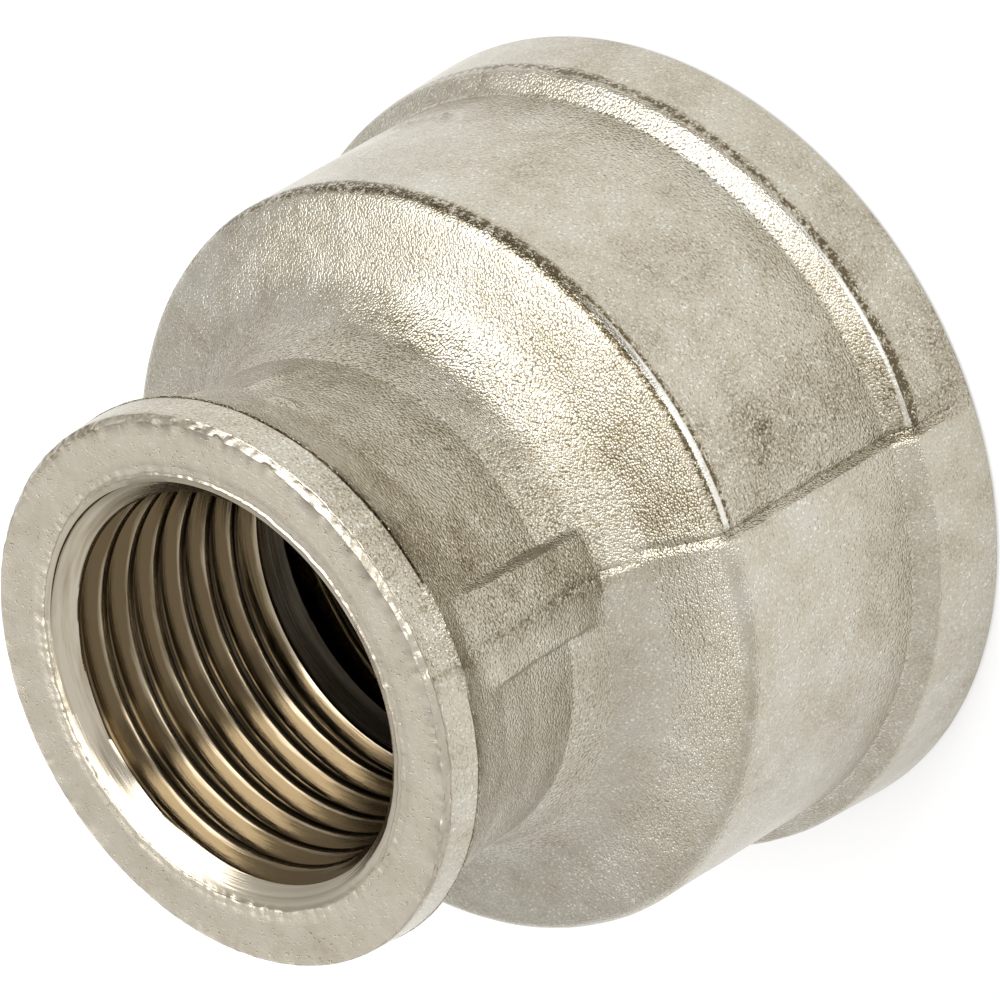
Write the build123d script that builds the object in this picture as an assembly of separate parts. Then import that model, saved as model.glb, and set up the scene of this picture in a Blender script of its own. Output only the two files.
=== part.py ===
from build123d import *
import math
import os

# Reducing coupling, parallel pipe threads G 1 (large end) x G 1/2 (small end).
# One hot-forged, nickel-plated brass body. Millimetres.
# The axis is Z: the large end face lies on z = 0 and the small end face is at the top.
# The forging's parting plane is XZ, so its two ribs stand on +X and -X.

# ---- driving dimensions ----
LENGTH = 32.2                # face to face

# small end, G 1/2
SMALL_FACE_R = 13.6          # outside radius of the turned face
SMALL_BAND = 2.2             # width of the turned band behind the face
SMALL_BAND_R = 13.72         # radius at the back of the turned band
SMALL_BORE_R = 9.48          # minor radius of the G 1/2 thread
SMALL_CHAMFER_R = 10.66      # mouth of the lead chamfer
SMALL_CHAMFER = 0.98         # depth of the lead chamfer

# neck between the small end and the shoulder
NECK_R = 12.55
NECK_TOP = 26.6              # height where the neck starts to widen towards the band
NECK_FOOT_R = 12.3
NECK_FOOT = 21.7             # height of the crease where the neck meets the shoulder
FLARE_R = 13.1               # the neck's foot widens in two steps
FLARE_Z = 19.6

# shoulder and barrel
SHOULDER_INNER_R = 14.7      # inner end of the shoulder's slope
SHOULDER_INNER_Z = 18.0
SHOULDER_MID_R = 16.9
SHOULDER_MID_Z = 17.4
SHOULDER_R = 18.9            # radius of the crease between the shoulder and the barrel
SHOULDER_Z = 16.75           # height of that crease
BARREL_FOOT_R = 19.1
BARREL_FOOT = 4.98

# collar at the large end, G 1
COLLAR_TOP_R = 20.1
COLLAR_TOP = 4.25
COLLAR_FOOT_R = 20.4
LARGE_BORE_R = 15.25         # minor radius of the G 1 thread
LARGE_CHAMFER_R = 16.8
LARGE_CHAMFER = 1.2
LARGE_BORE_DEPTH = 14.3      # parallel part of the large bore
SMALL_BORE_FOOT = 17.0       # height where the small bore opens into the large one
EDGE = 0.25                  # edge break on both turned faces

# ribs on the parting plane, along the neck
RIB_HALF_WIDTH = 2.25
RIB_EDGE_X = 12.85           # distance of the rib's side edges from the YZ plane
RIB_RIDGE_X = 13.28          # the ridge stands a little higher than the edges
RIB_FOOT = 18.0
RIB_TOP = 29.6


def lathe_profile():
    """Half section of the body in the XZ plane, outside and bores."""
    with BuildSketch(Plane.XZ) as sketch:
        with BuildLine():
            Polyline(
                (LARGE_CHAMFER_R, 0),
                (COLLAR_FOOT_R - EDGE, 0),
                (COLLAR_FOOT_R, EDGE),
                (COLLAR_TOP_R, COLLAR_TOP),
                (BARREL_FOOT_R, BARREL_FOOT),
                (SHOULDER_R, SHOULDER_Z),
                (SHOULDER_MID_R, SHOULDER_MID_Z),
                (SHOULDER_INNER_R, SHOULDER_INNER_Z),
                (FLARE_R, FLARE_Z),
                (NECK_FOOT_R, NECK_FOOT),
                (NECK_R, NECK_TOP),
                (SMALL_BAND_R, LENGTH - SMALL_BAND),
                (SMALL_FACE_R, LENGTH - EDGE),
                (SMALL_FACE_R - EDGE, LENGTH),
                (SMALL_CHAMFER_R, LENGTH),
                (SMALL_BORE_R, LENGTH - SMALL_CHAMFER),
                (SMALL_BORE_R, SMALL_BORE_FOOT),
                (LARGE_BORE_R, LARGE_BORE_DEPTH),
                (LARGE_BORE_R, LARGE_CHAMFER),
                (LARGE_CHAMFER_R, 0),
            )
        make_face()

        def corner(r, z):
            return sketch.vertices().sort_by_distance((r, z, 0))[0]

        fillet(corner(COLLAR_TOP_R, COLLAR_TOP), 0.35)
        fillet(corner(BARREL_FOOT_R, BARREL_FOOT), 0.5)
        fillet(corner(SHOULDER_R, SHOULDER_Z), 0.5)
        fillet(corner(SHOULDER_MID_R, SHOULDER_MID_Z), 3.0)
        fillet(corner(SHOULDER_INNER_R, SHOULDER_INNER_Z), 2.0)
        fillet(corner(FLARE_R, FLARE_Z), 1.5)
        fillet(corner(NECK_FOOT_R, NECK_FOOT), 0.6)
        fillet(corner(NECK_R, NECK_TOP), 4.0)
    return sketch.sketch


def rib():
    """Low two-facet rib, drawn on +X; its inner side is buried in the neck wall."""
    with BuildPart() as blade:
        with BuildSketch(Plane.XY.offset(RIB_FOOT)):
            Polygon(
                (NECK_R - 1.6, -RIB_HALF_WIDTH),
                (RIB_EDGE_X, -RIB_HALF_WIDTH),
                (RIB_RIDGE_X, 0),
                (RIB_EDGE_X, RIB_HALF_WIDTH),
                (NECK_R - 1.6, RIB_HALF_WIDTH),
                align=None,
            )
        extrude(amount=RIB_TOP - RIB_FOOT)
    return blade.part


body = revolve(lathe_profile(), axis=Axis.Z, revolution_arc=360)
right_rib = rib()
left_rib = rib().rotate(Axis.Z, 180)
coupling = body + right_rib + left_rib
coupling = coupling.clean()
solid = coupling.solids()[0] if len(coupling.solids()) == 1 else coupling

os.makedirs("parts", exist_ok=True)
export_step(solid, "parts/coupling_body.step")

box = solid.bounding_box()
print("solids", len(coupling.solids()), "valid", solid.is_valid)
print("volume mm3", round(solid.volume, 1))
print("box", [round(v, 3) for v in (*box.min, *box.max)])
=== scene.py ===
import math

import bpy
import numpy as np
from mathutils import Matrix, Vector


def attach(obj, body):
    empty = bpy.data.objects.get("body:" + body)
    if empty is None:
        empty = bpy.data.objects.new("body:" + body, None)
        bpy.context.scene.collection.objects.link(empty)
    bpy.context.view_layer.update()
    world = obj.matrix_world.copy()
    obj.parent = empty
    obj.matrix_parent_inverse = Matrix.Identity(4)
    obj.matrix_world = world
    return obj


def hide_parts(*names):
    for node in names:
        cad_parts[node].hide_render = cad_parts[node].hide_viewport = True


# Reducing coupling, G 1 x G 1/2: a forged, nickel-plated body with turned faces and cut threads.
# Shapes are worked out in millimetres and go to Blender in metres. Z is the waterway's axis.
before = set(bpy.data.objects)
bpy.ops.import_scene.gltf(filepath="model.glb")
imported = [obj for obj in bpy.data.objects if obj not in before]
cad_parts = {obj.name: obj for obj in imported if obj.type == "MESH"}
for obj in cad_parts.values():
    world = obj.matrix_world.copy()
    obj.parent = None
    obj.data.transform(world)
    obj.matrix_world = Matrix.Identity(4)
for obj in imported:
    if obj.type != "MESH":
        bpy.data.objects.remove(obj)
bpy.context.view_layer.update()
MM = 0.001
TAU = 2 * math.pi

# ---------------------------------------------------------------- dimensions (mm)
LENGTH = 32.2
FACE_Z = 32.07                  # the turned face, just under the burr's crest
SMALL_FACE_R = 13.6
SMALL_BAND = 2.2
SMALL_BAND_R = 13.72
SMALL_BORE_R = 9.48
SMALL_CHAMFER_R = 10.66
SMALL_CHAMFER = 0.98
SMALL_BORE_FOOT = 17.0
LARGE_BORE_R = 15.25
LARGE_CHAMFER_R = 16.8
LARGE_CHAMFER = 1.2
LARGE_BORE_DEPTH = 14.3
BAND_FOOT = 30.0                # where the turned band starts
BAND_TOP = 31.6                 # rows below this keep the skin's material
BURR = 0.24                     # width of the torn burr where it is heaviest
BURR_AT = math.radians(48)

RIB_R = 13.28                   # from the axis to a rib's ridge
RIB_ABOVE, RIB_BELOW = 2.36, 2.15           # half widths each side of the parting plane
RIB_SLOPE_ABOVE, RIB_SLOPE_BELOW = 0.12, 0.22
RIB_WALL = 0.42

# Whitworth threads of G 1/2 and G 1: pitch, root radius, pitch radius, height of the first groove
S_PITCH, S_ROOT, S_PITCH_R, S_LEAD = 1.814, 10.47, 9.896, 29.41
L_PITCH, L_ROOT, L_PITCH_R, L_LEAD = 2.309, 16.62, 15.885, 0.81
HALF_ANGLE = math.radians(27.5)
# rows across one turn of thread, as parts of the pitch
SMALL_OFFSETS = (0.0, 0.06, 0.12, 0.35, 0.40, 0.45, 0.5, 0.55, 0.60, 0.65, 0.88, 0.94)
LARGE_OFFSETS = (0.0, 0.12, 0.35, 0.42, 0.5, 0.58, 0.65, 0.88)

# raised casting pips: angle (degrees), height, half width round, half height, lift
PIPS = (
    (95, 7.75, 0.85, 0.42, 0.16),
    (89.5, 7.35, 0.95, 0.45, 0.20),
    (68.5, 26.8, 0.75, 0.42, 0.24),
    (80, 24.9, 0.42, 1.45, 0.24),
)
# and one on the shoulder: angle, radius, half width round, half width outwards, lift
SHOULDER_PIP = (-38, 15.2, 0.42, 0.85, 0.12)

SKIN, TURNED, THREAD = 0, 1, 2      # material slots of the mesh


# ---------------------------------------------------------------- small helpers
def smooth(a, b, x):
    t = np.clip((np.asarray(x, float) - a) / (b - a), 0, 1)
    return t * t * (3 - 2 * t)


def hash01(i, seed):
    """A repeatable random number from 0 to 1 for each whole number."""
    i = np.asarray(i, np.int64).astype(np.uint64)
    h = (i * np.uint64(2654435761) + np.uint64(seed * 40503 + 977)) & np.uint64(0xFFFFFFFF)
    h = ((h ^ (h >> np.uint64(15))) * np.uint64(2246822519)) & np.uint64(0xFFFFFFFF)
    h = ((h ^ (h >> np.uint64(13))) * np.uint64(3266489917)) & np.uint64(0xFFFFFFFF)
    return (h ^ (h >> np.uint64(16))).astype(float) / 4294967295.0


def ring_noise(theta, cells, seed):
    """Smooth noise from -1 to 1 round a circle, with a whole number of cells."""
    x = np.mod(np.asarray(theta, float) / TAU, 1) * cells
    i = np.floor(x).astype(int)
    t = x - i
    t = t * t * (3 - 2 * t)
    a = hash01(i % cells, seed)
    b = hash01((i + 1) % cells, seed)
    return 2 * (a + (b - a) * t) - 1


def wall_noise(theta, z, cells, step, seed):
    """Smooth noise from -1 to 1 on a tube: cells round it, one cell every step mm along it."""
    y = np.asarray(z, float) / step
    k = np.floor(y).astype(int)
    t = y - k
    t = t * t * (3 - 2 * t)
    x = np.mod(np.asarray(theta, float) / TAU, 1) * cells
    i = np.floor(x).astype(int)
    s = x - i
    s = s * s * (3 - 2 * s)

    def corner(di, dk):
        return hash01((i + di) % cells + 7919 * (k + dk + 500), seed)

    low = corner(0, 0) + (corner(1, 0) - corner(0, 0)) * s
    high = corner(0, 1) + (corner(1, 1) - corner(0, 1)) * s
    return 2 * (low + (high - low) * t) - 1


ARC_STEP = math.radians(16)


def rounded(points, gap):
    """A polyline with its corners rounded. A point is (r, z, fillet); gap is the longest step."""
    out = []
    n = len(points)
    for i, (r, z, fillet) in enumerate(points):
        here = np.array([r, z])
        if fillet <= 0 or i in (0, n - 1):
            out.append(here)
            continue
        a = np.array(points[i - 1][:2]) - here
        b = np.array(points[i + 1][:2]) - here
        la, lb = np.linalg.norm(a), np.linalg.norm(b)
        a, b = a / la, b / lb
        half = math.acos(np.clip(a @ b, -1, 1)) / 2
        cut = min(fillet / math.tan(half), 0.49 * la, 0.49 * lb)
        radius = cut * math.tan(half)
        centre = here + (a + b) / np.linalg.norm(a + b) * radius / math.sin(half)
        p, q = here + a * cut - centre, here + b * cut - centre
        arc = math.acos(np.clip(p @ q / radius ** 2, -1, 1))
        steps = max(2, int(math.ceil(arc / ARC_STEP)))
        for k in range(steps + 1):
            w = k / steps
            mixed = p * math.sin((1 - w) * arc) + q * math.sin(w * arc)
            out.append(centre + mixed / math.sin(arc))
    dense = [out[0]]
    for p in out[1:]:
        parts = max(1, int(math.ceil(np.linalg.norm(p - dense[-1]) / gap)))
        start = dense[-1]
        dense += [start + (p - start) * k / parts for k in range(1, parts + 1)]
    return np.array(dense)


# ---------------------------------------------------------------- columns round the axis
FINE = 14.0                     # degrees each side of the parting plane with close columns
SPLIT = 3                       # the small end's rim has this many times more columns


def from_parting(angles):
    """Signed angle from the nearer side of the parting plane."""
    return np.mod(angles + math.pi / 2, math.pi) - math.pi / 2


def column_angles():
    fine = np.linspace(-FINE, FINE, 59)[:-1]
    coarse = np.linspace(FINE, 180 - FINE, 97)[:-1]
    half_turn = np.concatenate([fine, coarse])
    return np.radians(np.concatenate([half_turn, half_turn + 180]))


def split_angles(angles):
    ends = np.append(angles, angles[0] + TAU)
    parts = [ends[:-1] + (ends[1:] - ends[:-1]) * k / SPLIT for k in range(SPLIT)]
    return np.array(parts).T.ravel()


theta = column_angles()
COLS = len(theta)
past_first = theta - theta[0]           # angle from the first column
upper = np.sin(theta) >= 0              # the +Y half of the forging
away = np.abs(from_parting(theta))
rim_theta = split_angles(theta)
rim_away = np.abs(from_parting(rim_theta))


# ---------------------------------------------------------------- outside, from the large face up
outside = rounded(
    [
        (20.15, 0.0, 0),
        (20.32, 0.18, 0.15),
        (20.08, 4.22, 0.40),
        (19.08, 4.95, 0.35),
        (18.88, 16.72, 0.95),
        (16.8, 17.40, 3.0),
        (14.7, 18.0, 2.2),
        (13.1, 19.6, 1.6),
        (12.32, 21.7, 0.40),
        (12.42, 24.6, 4.0),
        (12.75, 27.0, 4.0),
        (13.25, 28.8, 3.0),
        (13.74, 29.97, 0),
    ],
    0.80,
)
# closer rows where the small raised pips are
outside = np.concatenate([
    [p] if not (6.7 < p[1] < 8.4 or 26.0 < p[1] < 27.6) else [p, (p + q) / 2]
    for p, q in zip(outside, np.roll(outside, -1, axis=0))
])


def die_step(y):
    """How far the lower die half stands proud of the upper one, y mm from the parting plane."""
    return np.where(y < 0, 1.0, np.clip(1 - y / 0.30, 0, 1) ** 1.5)


def pip(x, y, half_x, half_y, lift):
    """Height of a small raised oval casting pip; x and y are mm from its middle."""
    return lift * (1 - smooth(0.55, 1.0, np.hypot(x / half_x, y / half_y)))


def turned_from(at, radius):
    """Distance in mm round the body from the angle at, in degrees, to each column."""
    return (np.mod(theta - math.radians(at) + math.pi, TAU) - math.pi) * radius


def outside_rows():
    """Rows of the forged skin, with the two die halves, ribs, seam and forging unevenness."""
    rows = []
    tangent = np.gradient(outside, axis=0)
    tangent /= np.linalg.norm(tangent, axis=1)[:, None]
    side = np.where(upper, away, -away)
    for (r0, z0), (tr, tz) in zip(outside, tangent):
        nr, nz = tz, -tr
        cast = smooth(0.2, 1.2, z0) * (1 - smooth(28.9, 29.7, z0))
        neck = smooth(18.6, 19.8, z0)
        row = np.full(COLS, z0 + r0)
        edge = 0.05 * wall_noise(theta, row, 300, 0.5, 3)
        edge = edge + 0.06 * wall_noise(theta, row, 120, 1.3, 4)
        # each half is a little off round near the parting plane: the upper one is flat there
        near = np.clip(1 - away / math.radians(17), 0, 1) ** 2
        low = 0.035 * (1 - 0.6 * neck) * wall_noise(theta, row, 26, 3.0, 11)
        low += 0.012 * wall_noise(theta, row, 90, 1.1, 12)
        ledge = die_step(side * r0 + edge)
        barrel = -0.26 * near * (1 - ledge) + 0.12 * near * ledge
        shoulder = 0.17 * near + 0.05 * ledge * near
        flat_top = smooth(0.35, 0.8, nz) * smooth(16.0, 17.0, z0)
        push = (barrel * (1 - flat_top) + shoulder * flat_top) * (1 - neck) * smooth(0.6, 3.5, z0)
        push = cast * (push + low)
        for at, middle, *oval in PIPS:
            push = push + pip(turned_from(at, r0), z0 - middle, *oval)
        at, middle, *oval = SHOULDER_PIP
        push = push + pip(turned_from(at, r0), r0 - middle, *oval)
        r = r0 + nr * push
        z = z0 + nz * push
        # the two ribs, each a ridge with a facet above and below it, a little wider at the top
        narrow = 0.30 * (29.5 - z0) / 9.5
        y_line = np.where(upper, RIB_ABOVE - narrow, RIB_BELOW)
        y_line = y_line + 0.05 * wall_noise(theta, np.full(COLS, z0), 60, 0.6, 5)
        crest = RIB_R + 0.03 * wall_noise(theta, row, 200, 0.5, 6)
        slope = np.where(upper, RIB_SLOPE_ABOVE, RIB_SLOPE_BELOW)
        rib_r = crest / (np.cos(away) + slope * np.sin(away))
        rib_y = rib_r * np.sin(away)
        wall = np.clip(1 - (rib_y - y_line) / RIB_WALL, 0, 1) ** 1.7
        wall = np.where(rib_y <= y_line, 1.0, wall)
        span = smooth(18.2, 18.6, z0) * (1 - smooth(29.3, 29.8, z0))
        target = np.maximum(r, rib_r)
        r = r + (target - r) * wall * span
        # ragged hairline at the foot of the step where the two halves meet
        foot = np.where(span > 0.5, 0.0, 0.30)
        seam = np.exp(-(((side * r0 + edge - foot) / 0.13) ** 2)) * (0.10 + 0.6 * np.abs(edge))
        r = r - seam * cast * nr
        z = z - seam * cast * nz
        rows.append((r, z, SKIN))
    return rows


def turned_rim_rows():
    """The small end's turned band and face, with the ragged burrs on the face's two edges."""
    rows = []
    ones = np.ones(len(rim_theta))

    def rough(cells, seed):
        return ring_noise(rim_theta, cells, seed)

    # the turning tool misses the forging's low places beside the parting plane
    reach = rim_away - np.where(np.sin(rim_theta) > 0, 0.14, 0.0)
    reach = reach + 0.03 * rough(60, 20) + 0.02 * rough(170, 18)
    raw = 1 - smooth(math.radians(5.5), math.radians(9.5), reach)
    # the burr is heavy on the +X +Y side and light round the rest
    load = smooth(-0.35, 0.25, np.cos(rim_theta - BURR_AT) + 0.12 * rough(9, 17))
    load = 0.30 + 0.70 * load

    def add(r, z, slot=TURNED):
        rows.append((r * ones, z * ones, SKIN if np.min(z) < BAND_TOP else slot))

    # a narrow groove where the tool stopped
    groove = 0.11 * (1 - raw) * (0.75 + 0.25 * rough(40, 19))
    wave = 0.02 * rough(110, 27)
    add(13.755 + 0.010 * rough(210, 26), 29.985 + wave)
    add(SMALL_BAND_R - groove, 30.01 + wave)
    add(SMALL_BAND_R - groove, 30.07 + wave)
    add(13.715 - 0.03 * raw, 30.11 + wave)
    for z in (30.5, 30.9, 31.3, 31.56):
        r = SMALL_BAND_R + (SMALL_FACE_R - SMALL_BAND_R) * (z - BAND_FOOT) / SMALL_BAND
        add(r + raw * (0.025 * rough(170, int(z * 10)) - 0.05), z)
    # a torn bevel runs along the face's outer edge
    torn, chips = rough(290, 21), rough(120, 22)
    lump, heap = rough(310, 28), rough(150, 29)
    bevel = BURR * load
    low_z = FACE_Z - bevel * (0.92 + 0.16 * torn + 0.12 * chips)
    add(SMALL_FACE_R, np.minimum(low_z - 0.11, 31.78))
    add(13.56 - 0.03 * load, low_z - 0.06)
    add(SMALL_FACE_R + 0.02 * load * lump, low_z)
    add(SMALL_FACE_R - 0.30 * bevel + 0.05 * load * lump,
        FACE_Z - 0.62 * bevel + 0.05 * load * heap)
    add(SMALL_FACE_R - 0.62 * bevel + 0.06 * load * heap,
        FACE_Z - 0.26 * bevel + 0.05 * load * lump)
    inner = SMALL_FACE_R - bevel * (1.0 + 0.22 * chips + 0.14 * heap)
    add(inner, FACE_Z + 0.05 * load * (0.6 + 0.6 * torn))
    add(inner - 0.07, FACE_Z + 0.03 * load * (0.5 + torn))
    add(inner - 0.12, FACE_Z)
    for r in (12.6, 12.0, 11.6):
        add(r, FACE_Z)
    # the lip round the bore is ragged too
    lip = 0.06 * rough(230, 24) + 0.05 * rough(100, 25)
    crumb = 0.016 * rough(290, 30) + 0.010 * rough(140, 33)
    add(11.26 + 0.9 * lip, FACE_Z)
    add(11.12 + lip, FACE_Z - 0.04 + crumb)
    add(10.96 + lip, FACE_Z - 0.005 + crumb)
    add(10.84 + 0.7 * lip, FACE_Z - 0.05 + crumb)
    add(10.74 + 0.5 * lip, FACE_Z + 0.01 + 0.6 * crumb)
    add(10.64 + 0.3 * lip, FACE_Z - 0.05, THREAD)
    return rows


def thread_radius(z, p, lead, crest_r, root_r, pitch_r):
    """Radius of a Whitworth groove. lead is the height of a groove's centre at the first column."""
    u = np.mod((z - lead) / p - past_first / TAU + 0.5, 1) - 0.5
    off = np.abs(u) * p
    flank = pitch_r + (p / 4 - off) / math.tan(HALF_ANGLE)
    root = root_r - 2.1 * off ** 2 / p
    crest = crest_r + 2.3 * (p / 2 - off) ** 2 / p
    return np.maximum(np.minimum(flank, root), np.minimum(crest, root_r))


def thread_rows(z_lo, z_hi, p, lead, offsets, radius_at):
    """Rows that follow the helix. One turn later, each meets the row len(offsets) above it."""
    m = len(offsets)
    base = lead + p * math.floor((z_lo - lead) / p) - 2 * p
    turns = int(math.ceil((z_hi - base) / p)) + 1
    rows = []
    for k in range(turns * m):
        z = base + (k // m) * p + offsets[k % m] * p + p * past_first / TAU
        z = np.clip(z, z_lo, z_hi)
        rows.append((radius_at(z), z, THREAD))
    return rows


def small_bore_radius(z):
    r = thread_radius(z, S_PITCH, S_LEAD, SMALL_BORE_R, S_ROOT, S_PITCH_R)
    fade = smooth(18.3, 19.9, z)
    r = SMALL_BORE_R + (r - SMALL_BORE_R) * fade
    spread = (SMALL_CHAMFER_R - SMALL_BORE_R) / SMALL_CHAMFER
    cone = SMALL_BORE_R + (z - (LENGTH - SMALL_CHAMFER)) * spread
    return np.maximum(r, cone)


def large_bore_radius(z):
    r = thread_radius(z, L_PITCH, L_LEAD, LARGE_BORE_R, L_ROOT, L_PITCH_R)
    fade = 1 - smooth(10.9, 12.9, z)
    r = LARGE_BORE_R + (r - LARGE_BORE_R) * fade
    spread = (LARGE_CHAMFER_R - LARGE_BORE_R) / LARGE_CHAMFER
    cone = LARGE_BORE_R + (LARGE_CHAMFER - z) * spread
    return np.maximum(r, cone)


def body_rows():
    """All rows round the section, and for each one its group's first row, end row and shift."""
    rows, wraps = [], []

    def add(new, shift=0):
        start = len(rows)
        rows.extend(new)
        wraps.extend([(start, len(rows), shift)] * len(new))

    flat = np.ones(COLS)
    add([(r * flat, 0.0 * flat, TURNED) for r in (16.86, 18.0, 19.3)])
    add(outside_rows())
    add(turned_rim_rows())
    helix = thread_rows(18.0, 32.0, S_PITCH, S_LEAD, SMALL_OFFSETS, small_bore_radius)
    add(helix[::-1], -len(SMALL_OFFSETS))
    add([(SMALL_BORE_R * flat, z * flat, THREAD) for z in (17.7, 17.12)])
    # a rough cone joins the two bores
    add([(9.56 + 0.015 * ring_noise(theta, 90, 31), 16.98 * flat, THREAD)])
    fall = (SMALL_BORE_FOOT - LARGE_BORE_DEPTH) / (LARGE_BORE_R - SMALL_BORE_R)
    for r in (10.8, 12.3, 13.9):
        z = SMALL_BORE_FOOT - (r - SMALL_BORE_R) * fall
        add([(r * flat, z + 0.03 * ring_noise(theta, 24, int(r)), SKIN)])
    add([(15.1 * flat, 14.36 * flat, THREAD), (LARGE_BORE_R * flat, 14.2 * flat, THREAD)])
    helix = thread_rows(0.12, 13.6, L_PITCH, L_LEAD, LARGE_OFFSETS, large_bore_radius)
    add(helix[::-1], -len(LARGE_OFFSETS))
    add([(LARGE_CHAMFER_R + 0.03 * ring_noise(theta, 150, 34), 0.03 * flat, THREAD)])
    return rows, wraps


def wrapped(k, wraps):
    """The row whose first point follows row k's last one: the next turn up on a thread."""
    start, stop, shift = wraps[k]
    if not shift:
        return k
    return min(max(k + shift, start), stop - 1)


def build_body():
    """One closed mesh, with its rows joined by faces all round the section."""
    rows, wraps = body_rows()
    points, ids = [], []
    for r, z, _ in rows:
        angles = theta if len(r) == COLS else rim_theta
        xyz = np.stack([r * np.cos(angles), r * np.sin(angles), z], axis=1) * MM
        ids.append(np.arange(len(r)))
        points.append(xyz)
    base = np.concatenate([[0], np.cumsum([len(p) for p in points])])
    ids = [i + b for i, b in zip(ids, base)]
    # rows squeezed against a thread's end all share that column's last free point
    for k in range(1, len(rows)):
        if len(points[k]) == len(points[k - 1]):
            same = np.linalg.norm(points[k] - points[k - 1], axis=1) < 1e-9
            ids[k][same] = ids[k - 1][same]
    faces, marks = [], []

    def add_face(loop, mark):
        loop = [v for i, v in enumerate(loop) if v not in loop[:i]]
        if len(loop) >= 3:
            faces.append(loop)
            marks.append(mark)

    def piece(k, j, seam_row):
        """Point ids along row k from column j to j + 1, with a rim row's extra ones."""
        step = len(ids[k]) // COLS
        run = [ids[k][j * step + i] for i in range(step)]
        last = (j + 1) * step
        run.append(ids[k][last] if last < len(ids[k]) else ids[seam_row][0])
        return run

    for k in range(len(rows)):
        nxt = (k + 1) % len(rows)
        ends = wrapped(k, wraps), wrapped(nxt, wraps)
        here, there = rows[k][2], rows[nxt][2]
        mark = here if SKIN in (here, there) else max(here, there)
        for j in range(COLS):
            a, b = piece(k, j, ends[0]), piece(nxt, j, ends[1])
            if len(a) == len(b):
                for i in range(len(a) - 1):
                    add_face([a[i], a[i + 1], b[i + 1], b[i]], mark)
            else:
                add_face(a + b[::-1], mark)
    every = np.concatenate(points)
    used = np.unique(np.concatenate([np.array(f) for f in faces]))
    place = np.zeros(len(every), int)
    place[used] = np.arange(len(used))
    mesh = bpy.data.meshes.new("coupling_body_visual")
    mesh.from_pydata(every[used].tolist(), [], [[int(place[v]) for v in f] for f in faces])
    mesh.polygons.foreach_set("material_index", marks)
    mesh.validate()
    mesh.update()
    return mesh


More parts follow.
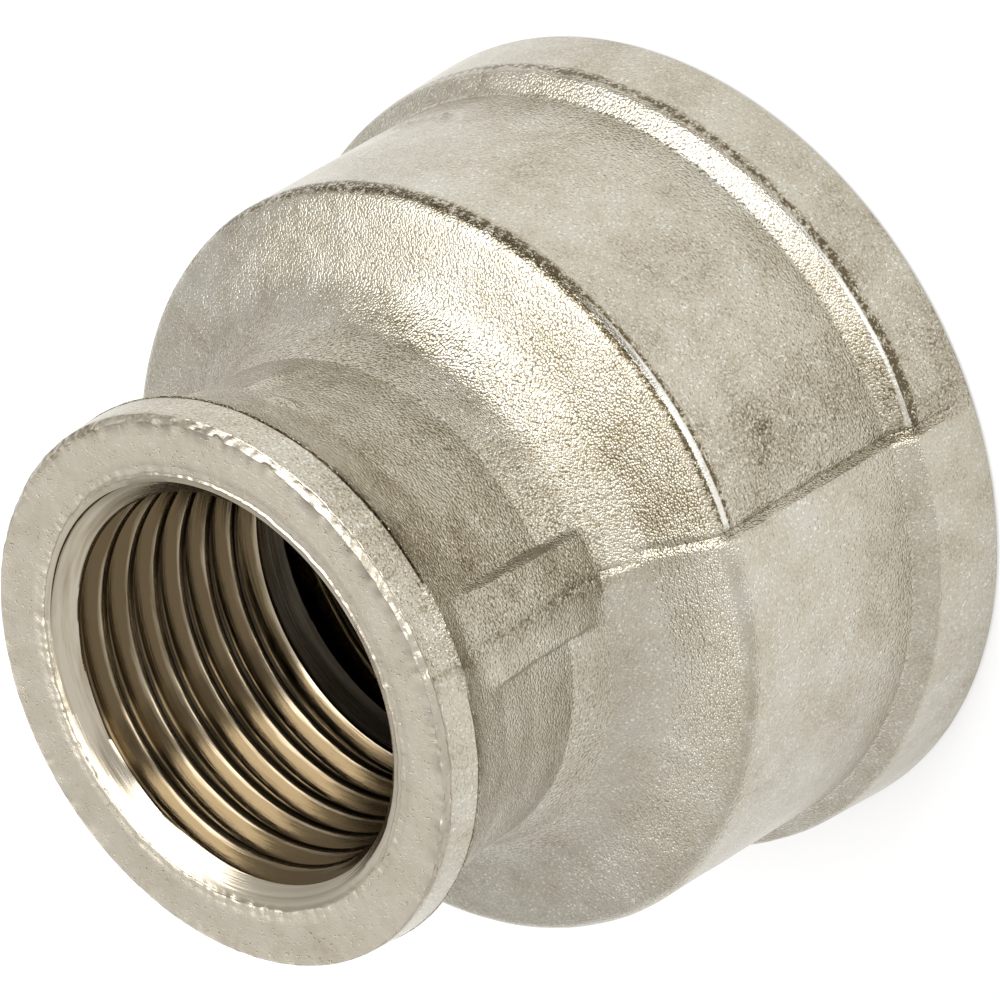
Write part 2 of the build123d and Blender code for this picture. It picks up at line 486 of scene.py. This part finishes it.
# ---------------------------------------------------------------- materials
class Nodes:
    """A metal made of nodes. Positions come from the part's own coordinates, in millimetres."""

    def __init__(self, name):
        self.mat = bpy.data.materials.new(name)
        self.mat.use_nodes = True
        self.tree = self.mat.node_tree
        self.bsdf = self.tree.nodes["Principled BSDF"]
        self.bsdf.inputs["Metallic"].default_value = 1.0
        coord = self.add("ShaderNodeTexCoord")
        scale = self.add("ShaderNodeVectorMath", operation="SCALE")
        scale.inputs["Scale"].default_value = 1 / MM
        self.link(coord.outputs["Object"], scale.inputs[0])
        self.mm = scale.outputs[0]
        split = self.add("ShaderNodeSeparateXYZ")
        self.link(self.mm, split.inputs[0])
        self.x, self.y, self.z = split.outputs
        squares = self.plus(self.times(self.x, self.x), self.times(self.y, self.y))
        self.radius = self.math("SQRT", squares)

    def add(self, kind, **values):
        node = self.tree.nodes.new(kind)
        for key, value in values.items():
            setattr(node, key, value)
        return node

    def link(self, a, b):
        self.tree.links.new(a, b)

    def math(self, op, *values):
        node = self.add("ShaderNodeMath", operation=op)
        for socket, value in zip(node.inputs, values):
            if isinstance(value, (int, float)):
                socket.default_value = value
            else:
                self.link(value, socket)
        return node.outputs[0]

    def plus(self, a, b):
        return self.math("ADD", a, b)

    def minus(self, a, b):
        return self.math("SUBTRACT", a, b)

    def times(self, a, b):
        return self.math("MULTIPLY", a, b)

    def larger(self, a, b):
        return self.math("MAXIMUM", a, b)

    def noise(self, scale, detail, rough, vector=None):
        node = self.add("ShaderNodeTexNoise")
        node.inputs["Scale"].default_value = scale
        node.inputs["Detail"].default_value = detail
        node.inputs["Roughness"].default_value = rough
        self.link(vector or self.mm, node.inputs["Vector"])
        return node.outputs["Fac"]

    def cells(self, scale):
        """Distance to the middle of the nearest of many small cells."""
        node = self.add("ShaderNodeTexVoronoi")
        node.inputs["Scale"].default_value = scale
        self.link(self.mm, node.inputs["Vector"])
        return node.outputs["Distance"]

    def ramp(self, fac, stops):
        node = self.add("ShaderNodeValToRGB")
        ramp = node.color_ramp
        ramp.elements[0].position, ramp.elements[0].color = stops[0][0], (*stops[0][1], 1)
        ramp.elements[1].position, ramp.elements[1].color = stops[-1][0], (*stops[-1][1], 1)
        for position, colour in stops[1:-1]:
            ramp.elements.new(position).color = (*colour, 1)
        self.link(fac, node.inputs["Fac"])
        return node.outputs["Color"]

    def remap(self, fac, low, high, a=0.0, b=1.0):
        """low where fac is a, high where it is b, and no further either way."""
        node = self.add("ShaderNodeMapRange")
        node.inputs["From Min"].default_value = a
        node.inputs["From Max"].default_value = b
        node.inputs["To Min"].default_value = low
        node.inputs["To Max"].default_value = high
        self.link(fac, node.inputs["Value"])
        return node.outputs["Result"]

    def rise(self, value, a, b):
        """0 up to a, and 1 from b on."""
        return self.remap(value, 0.0, 1.0, a, b)

    def fall(self, value, a, b):
        """1 up to a, and 0 from b on."""
        return self.remap(value, 1.0, 0.0, a, b)

    def between(self, value, a, b, c, d):
        """1 from b to c, and 0 up to a and from d on."""
        return self.times(self.rise(value, a, b), self.fall(value, c, d))

    def bump(self, height, distance, under=None):
        """A normal bumped by height, which is distance mm at 1, on top of the one under it."""
        node = self.add("ShaderNodeBump")
        node.inputs["Strength"].default_value = 1.0
        node.inputs["Distance"].default_value = distance * MM
        self.link(height, node.inputs["Height"])
        if under is not None:
            self.link(under, node.inputs["Normal"])
        return node.outputs["Normal"]

    def lathe_vector(self, across, round_):
        """(radius, height, sine of the angle), scaled, for marks that run round the axis."""
        angle = self.math("ARCTAN2", self.y, self.x)
        join = self.add("ShaderNodeCombineXYZ")
        self.link(self.times(self.radius, across), join.inputs[0])
        self.link(self.times(self.z, across), join.inputs[1])
        self.link(self.times(self.math("SINE", angle), round_), join.inputs[2])
        return join.outputs[0]

    def finish(self, colour, roughness, normal):
        self.link(colour, self.bsdf.inputs["Base Color"])
        self.link(roughness, self.bsdf.inputs["Roughness"])
        self.link(normal, self.bsdf.inputs["Normal"])
        return self.mat


# heights (mm) at which a painted shade or painted highlight starts, is full, starts to fade and is
# gone
SHOULDER_SHADE = (15.85, 16.20, 16.60, 16.82)
COLLAR_SHADE = (3.35, 3.75, 3.95, 4.20)
BAND_LINE = (29.94, 29.98, 30.11, 30.15)
SHOULDER_HIGHLIGHT = (16.20, 16.28, 16.48, 16.56)
COLLAR_HIGHLIGHT = (4.06, 4.11, 4.23, 4.28)

# colours from a dark hollow to a bright tip; on the skin, painted shade pulls towards the dark end
# and painted glints towards the bright one
SKIN_TONES = (
    (0.0, (0.11, 0.088, 0.052)),
    (0.14, (0.28, 0.243, 0.173)),
    (0.34, (0.446, 0.406, 0.320)),
    (0.52, (0.512, 0.481, 0.402)),
    (0.75, (0.558, 0.535, 0.472)),
    (0.95, (0.72, 0.70, 0.64)),
)
TURNED_TONES = (
    (0.05, (0.28, 0.23, 0.16)),
    (0.3, (0.462, 0.416, 0.339)),
    (0.5, (0.497, 0.452, 0.371)),
    (0.75, (0.532, 0.490, 0.415)),
)
THREAD_TONES = (
    (0.0, (0.13, 0.095, 0.052)),
    (0.30, (0.36, 0.30, 0.215)),
    (0.6, (0.54, 0.490, 0.395)),
)


def skin_material():
    """Forged and blasted skin: crisp small grains, coarser and browner above the parting plane."""
    n = Nodes("nickel_skin")
    tone = n.noise(0.30, 3, 0.6)
    patches = n.noise(0.9, 3, 0.6)
    grain = n.cells(8.4)
    # the die pulled the skin above the parting plane, and left it coarser there
    ragged_y = n.plus(n.y, n.remap(patches, -2.0, 2.0, 0.2, 0.8))
    beside = n.times(n.rise(n.y, -0.25, 0.15), n.fall(ragged_y, 4.0, 14.0))
    coarse = n.plus(n.remap(patches, 0.60, 0.85, 0.3, 0.7), n.times(beside, 0.25))
    mix = n.plus(n.times(tone, 0.75), n.times(patches, 0.25))
    mix = n.minus(mix, n.times(n.remap(grain, 0.0, 0.20, 0.35, 0.75), coarse))
    mix = n.minus(mix, n.times(beside, 0.13))
    # painted glints: bright specks on the grains
    glints = n.remap(n.noise(7.0, 1, 0.5), 0.0, 0.50, 0.58, 0.68)
    mix = n.plus(mix, n.times(glints, coarse))
    # painted shade: dark ragged bands along the shoulder's edge and the collar's edge, and darker
    # along the ribs' ridge
    edges = n.larger(n.between(n.z, *SHOULDER_SHADE), n.between(n.z, *COLLAR_SHADE))
    edges = n.times(edges, n.rise(n.y, -0.4, 1.0))
    ridge = n.between(n.y, -1.5, -0.2, -0.1, 0.15)
    ridge = n.times(ridge, n.times(n.fall(n.radius, 14.0, 15.5), 0.55))
    speck = n.noise(3.4, 3, 0.7)
    painted_shade = n.times(n.larger(edges, ridge), n.rise(speck, 0.36, 0.52))
    # and painted shadow in the thin groove where the turned band starts
    line = n.times(n.between(n.z, *BAND_LINE), n.remap(n.y, 0.0, 0.55, 3.0, 5.0))
    painted_shade = n.larger(painted_shade, line)
    # painted highlight: beside the parting plane the lower side of both edges is painted bright
    # instead, a thin white line
    edge_highlight = n.larger(n.between(n.z, *SHOULDER_HIGHLIGHT), n.between(n.z, *COLLAR_HIGHLIGHT))
    edge_highlight = n.times(edge_highlight, n.between(n.y, 0.3, 0.8, 9.0, 13.0))
    off_highlight = n.minus(1.0, edge_highlight)
    mix = n.minus(mix, n.times(n.times(painted_shade, off_highlight), 0.50))
    mix = n.plus(mix, n.times(edge_highlight, 0.6))
    # relief: domed grains and grit, flatter under the painted highlight, over slow waves
    dome = n.times(n.times(grain, grain), -1.0)
    grit = n.noise(6.5, 2, 0.65)
    height = n.plus(n.times(dome, 0.9), n.times(grit, 0.35))
    height = n.times(height, n.times(coarse, n.minus(1.0, n.times(edge_highlight, 0.8))))
    waves = n.bump(n.noise(1.3, 2, 0.5), 0.022)
    normal = n.bump(height, 0.046, waves)
    return n.finish(n.ramp(mix, SKIN_TONES), n.remap(patches, 0.20, 0.30), normal)


def turned_material():
    """Turned faces: nearly smooth, with faint tool lines, pin marks, stains and painted shade on
    the burr.
    """
    n = Nodes("nickel_turned")
    tone = n.noise(0.5, 3, 0.6)
    pins = n.rise(n.noise(6.5, 2, 0.6), 0.30, 0.40)
    stain_and_shade = n.times(n.minus(1.0, pins), 0.35)
    # painted shade: the burr is darker brown on the side away from the ribs
    burr_shade = n.times(n.rise(n.radius, 12.95, 13.25), n.rise(n.z, 31.55, 31.75))
    burr_shade = n.times(burr_shade, n.times(n.rise(n.y, 8.0, 12.0), n.fall(n.x, 0.0, 8.0)))
    burr_shade = n.times(burr_shade, n.remap(n.noise(2.6, 3, 0.7), 0.15, 1.0, 0.38, 0.58))
    stain_and_shade = n.plus(stain_and_shade, n.times(burr_shade, 0.42))
    roughness = n.remap(n.noise(2.0, 3, 0.6), 0.24, 0.38)
    tool_lines = n.bump(n.noise(1.0, 2, 0.6, n.lathe_vector(9.0, 0.8)), 0.006)
    normal = n.bump(n.plus(pins, n.noise(5.0, 2, 0.6)), 0.010, tool_lines)
    return n.finish(n.ramp(n.minus(tone, stain_and_shade), TURNED_TONES), roughness, normal)


def thread_material():
    """Cut threads and chamfers: fine scratches run round the bore, and the roots darken deeper in,
    partly stain and partly painted shade.
    """
    n = Nodes("nickel_thread")
    chamfer_foot = LENGTH - SMALL_CHAMFER
    # darker towards the roots and deeper in the bore: partly real stain, partly painted shade in
    # the grooves
    inside = n.rise(n.z, chamfer_foot - 0.15, chamfer_foot - 0.65)
    deep = n.rise(n.radius, SMALL_BORE_R + 0.02, SMALL_BORE_R + 0.38)
    stain_and_shade = n.times(n.plus(n.times(deep, 0.76), 0.24), inside)
    streaks = n.noise(1.0, 3, 0.6, n.lathe_vector(2.6, 2.2))
    tone = n.minus(n.remap(streaks, 0.25, 0.75, 0.25, 0.75), n.times(stain_and_shade, 0.75))
    scratches = n.noise(1.0, 3, 0.7, n.lathe_vector(10.0, 1.4))
    roughness = n.remap(scratches, 0.08, 0.22, 0.3, 0.7)
    return n.finish(n.ramp(tone, THREAD_TONES), roughness, n.bump(scratches, 0.010))


# ---------------------------------------------------------------- the body
SHARP_ANGLE = math.radians(38)

body = bpy.data.objects.new("coupling_body_visual", build_body())
bpy.context.collection.objects.link(body)
for make in (skin_material, turned_material, thread_material):
    body.data.materials.append(make())
body.data.shade_smooth()
body.data.set_sharp_from_angle(angle=SHARP_ANGLE)
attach(body, "root")
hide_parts("coupling_body")

# ---------------------------------------------------------------- camera
camera = bpy.data.objects.new("camera", bpy.data.cameras.new("camera"))
bpy.context.collection.objects.link(camera)
camera.data.sensor_width = 36
camera.data.lens = 269.45
camera.data.clip_start = 0.01
camera.data.clip_end = 10
CAMERA_AT = Vector((0.25020, 0.08129, 0.24815))
CAMERA_TO = Vector((0.00197, 0.00179, 0.01341))
CAMERA_ROLL = math.radians(120.555)
facing = (CAMERA_TO - CAMERA_AT).to_track_quat("-Z", "Y").to_matrix()
facing = facing @ Matrix.Rotation(-CAMERA_ROLL, 3, "Z")
camera.matrix_world = Matrix.Translation(CAMERA_AT) @ facing.to_4x4()
bpy.context.scene.camera = camera


# ---------------------------------------------------------------- studio
def area_light(name, at, to, size, power, turn):
    data = bpy.data.lights.new(name, "AREA")
    data.shape = "RECTANGLE"
    data.size, data.size_y = size
    data.energy = power
    light = bpy.data.objects.new(name, data)
    bpy.context.collection.objects.link(light)
    light.location = at
    light.visible_camera = False
    facing_to = (Vector(to) - Vector(at)).to_track_quat("-Z", "Y").to_matrix()
    light.rotation_euler = (facing_to @ Matrix.Rotation(math.radians(turn), 3, "Z")).to_euler()


# name, place, the point it faces, width and height (m), power (W), turn about its axis (degrees)
LIGHTS = (
    ("key_softbox", (0.084, 0.461, 0.50), (0.084, 0.461, 0.0), (0.70, 0.50), 3.95, 49),
    ("key_softbox_end", (-0.158, 0.008, 0.50), (-0.158, 0.008, 0.0), (0.30, 0.27), 0.68, 49),
    ("front_strip", (0.58, 0.15, 0.185), (0, 0, 0.02), (0.25, 0.54), 1.10, 0),
)
for light in LIGHTS:
    area_light(*light)

world = bpy.data.worlds.new("studio")
bpy.context.scene.world = world
world.use_nodes = True
sky = world.node_tree


def sky_node(kind, *sources, **values):
    node = sky.nodes.new(kind)
    for key, value in values.items():
        setattr(node, key, value)
    for socket, source in zip(node.inputs, sources):
        if isinstance(source, (int, float)):
            socket.default_value = source
        else:
            sky.links.new(source, socket)
    return node


def sky_math(operation, *sources):
    return sky_node("ShaderNodeMath", *sources, operation=operation).outputs[0]


def sky_range(source, low, high, a, b):
    """a up to low, b from high on, and a smooth step between."""
    node = sky_node("ShaderNodeMapRange", source, interpolation_type="SMOOTHSTEP")
    for name, value in (("From Min", low), ("From Max", high), ("To Min", a), ("To Max", b)):
        node.inputs[name].default_value = value
    return node.outputs["Result"]


direction = sky_node("ShaderNodeTexCoord").outputs["Generated"]


def sky_toward(azimuth, elevation):
    """Cosine of the angle from a place in the room, given in degrees."""
    round_z, up = math.radians(azimuth), math.radians(elevation)
    node = sky_node("ShaderNodeVectorMath", direction, operation="DOT_PRODUCT")
    node.inputs[1].default_value = (
        math.cos(up) * math.cos(round_z), math.cos(up) * math.sin(round_z), math.sin(up))
    return node.outputs["Value"]


height = sky_node("ShaderNodeSeparateXYZ", direction).outputs["Z"]
wall = sky_range(height, 0.05, 0.45, 0.66, 0.96)

# a dark curtain stands low on the far side, and keeps the edges of the metal crisp
CURTAIN_AZIMUTH = 74
curtain = sky_math("MULTIPLY", sky_range(sky_toward(CURTAIN_AZIMUTH, 0), 0.55, 0.85, 0.0, 0.95),
                   sky_range(height, 0.26, 0.40, 1.0, 0.0))

# round darker patches of the room: azimuth, elevation, inner and outer radius (degrees), depth
DARK_PATCHES = (
    (22, 57, 6.5, 12, 0.45),        # above the camera
    (150, 35, 15, 30, 0.28),        # the room's far left
    (-140, 12, 12, 28, 0.30),       # low behind the near side
)
dark = curtain
for azimuth, elevation, inner, outer, depth in DARK_PATCHES:
    inner, outer = math.cos(math.radians(inner)), math.cos(math.radians(outer))
    patch = sky_range(sky_toward(azimuth, elevation), outer, inner, 0.0, depth)
    dark = sky_math("MAXIMUM", dark, patch)
level = sky_math("MULTIPLY", wall, sky_math("SUBTRACT", 1.0, dark))
sky.links.new(level, sky.nodes["Background"].inputs["Strength"])
sky.nodes["Background"].inputs["Color"].default_value = (1, 0.995, 0.985, 1)

FLOOR_HALF = 3                              # m
GLOW_FROM, GLOW_FULL, GLOW = 0.0199, 0.0203, 0.56   # m from the axis, m from the axis, strength

floor_mesh = bpy.data.meshes.new("floor")
corners = [(x * FLOOR_HALF, y * FLOOR_HALF, 0) for x, y in ((-1, -1), (1, -1), (1, 1), (-1, 1))]
floor_mesh.from_pydata(corners, [], [(0, 1, 2, 3)])
floor = bpy.data.objects.new("floor", floor_mesh)
bpy.context.collection.objects.link(floor)
paper = bpy.data.materials.new("floor_paper")
paper.use_nodes = True
shader = paper.node_tree.nodes["Principled BSDF"]
shader.inputs["Base Color"].default_value = (0.42, 0.42, 0.42, 1)
shader.inputs["Roughness"].default_value = 0.9
shader.inputs["Specular IOR Level"].default_value = 0.0
shader.inputs["Emission Color"].default_value = (1, 1, 1, 1)
# the paper glows a little, but not where the part covers it
spot = paper.node_tree.nodes.new("ShaderNodeTexCoord")
reach = paper.node_tree.nodes.new("ShaderNodeVectorMath")
reach.operation = "LENGTH"
paper.node_tree.links.new(spot.outputs["Object"], reach.inputs[0])
glow = paper.node_tree.nodes.new("ShaderNodeMapRange")
glow.inputs["From Min"].default_value = GLOW_FROM
glow.inputs["From Max"].default_value = GLOW_FULL
glow.inputs["To Min"].default_value = 0.0
glow.inputs["To Max"].default_value = GLOW
paper.node_tree.links.new(reach.outputs["Value"], glow.inputs["Value"])
paper.node_tree.links.new(glow.outputs["Result"], shader.inputs["Emission Strength"])
floor_mesh.materials.append(paper)

bpy.context.scene.view_settings.view_transform = "Standard"
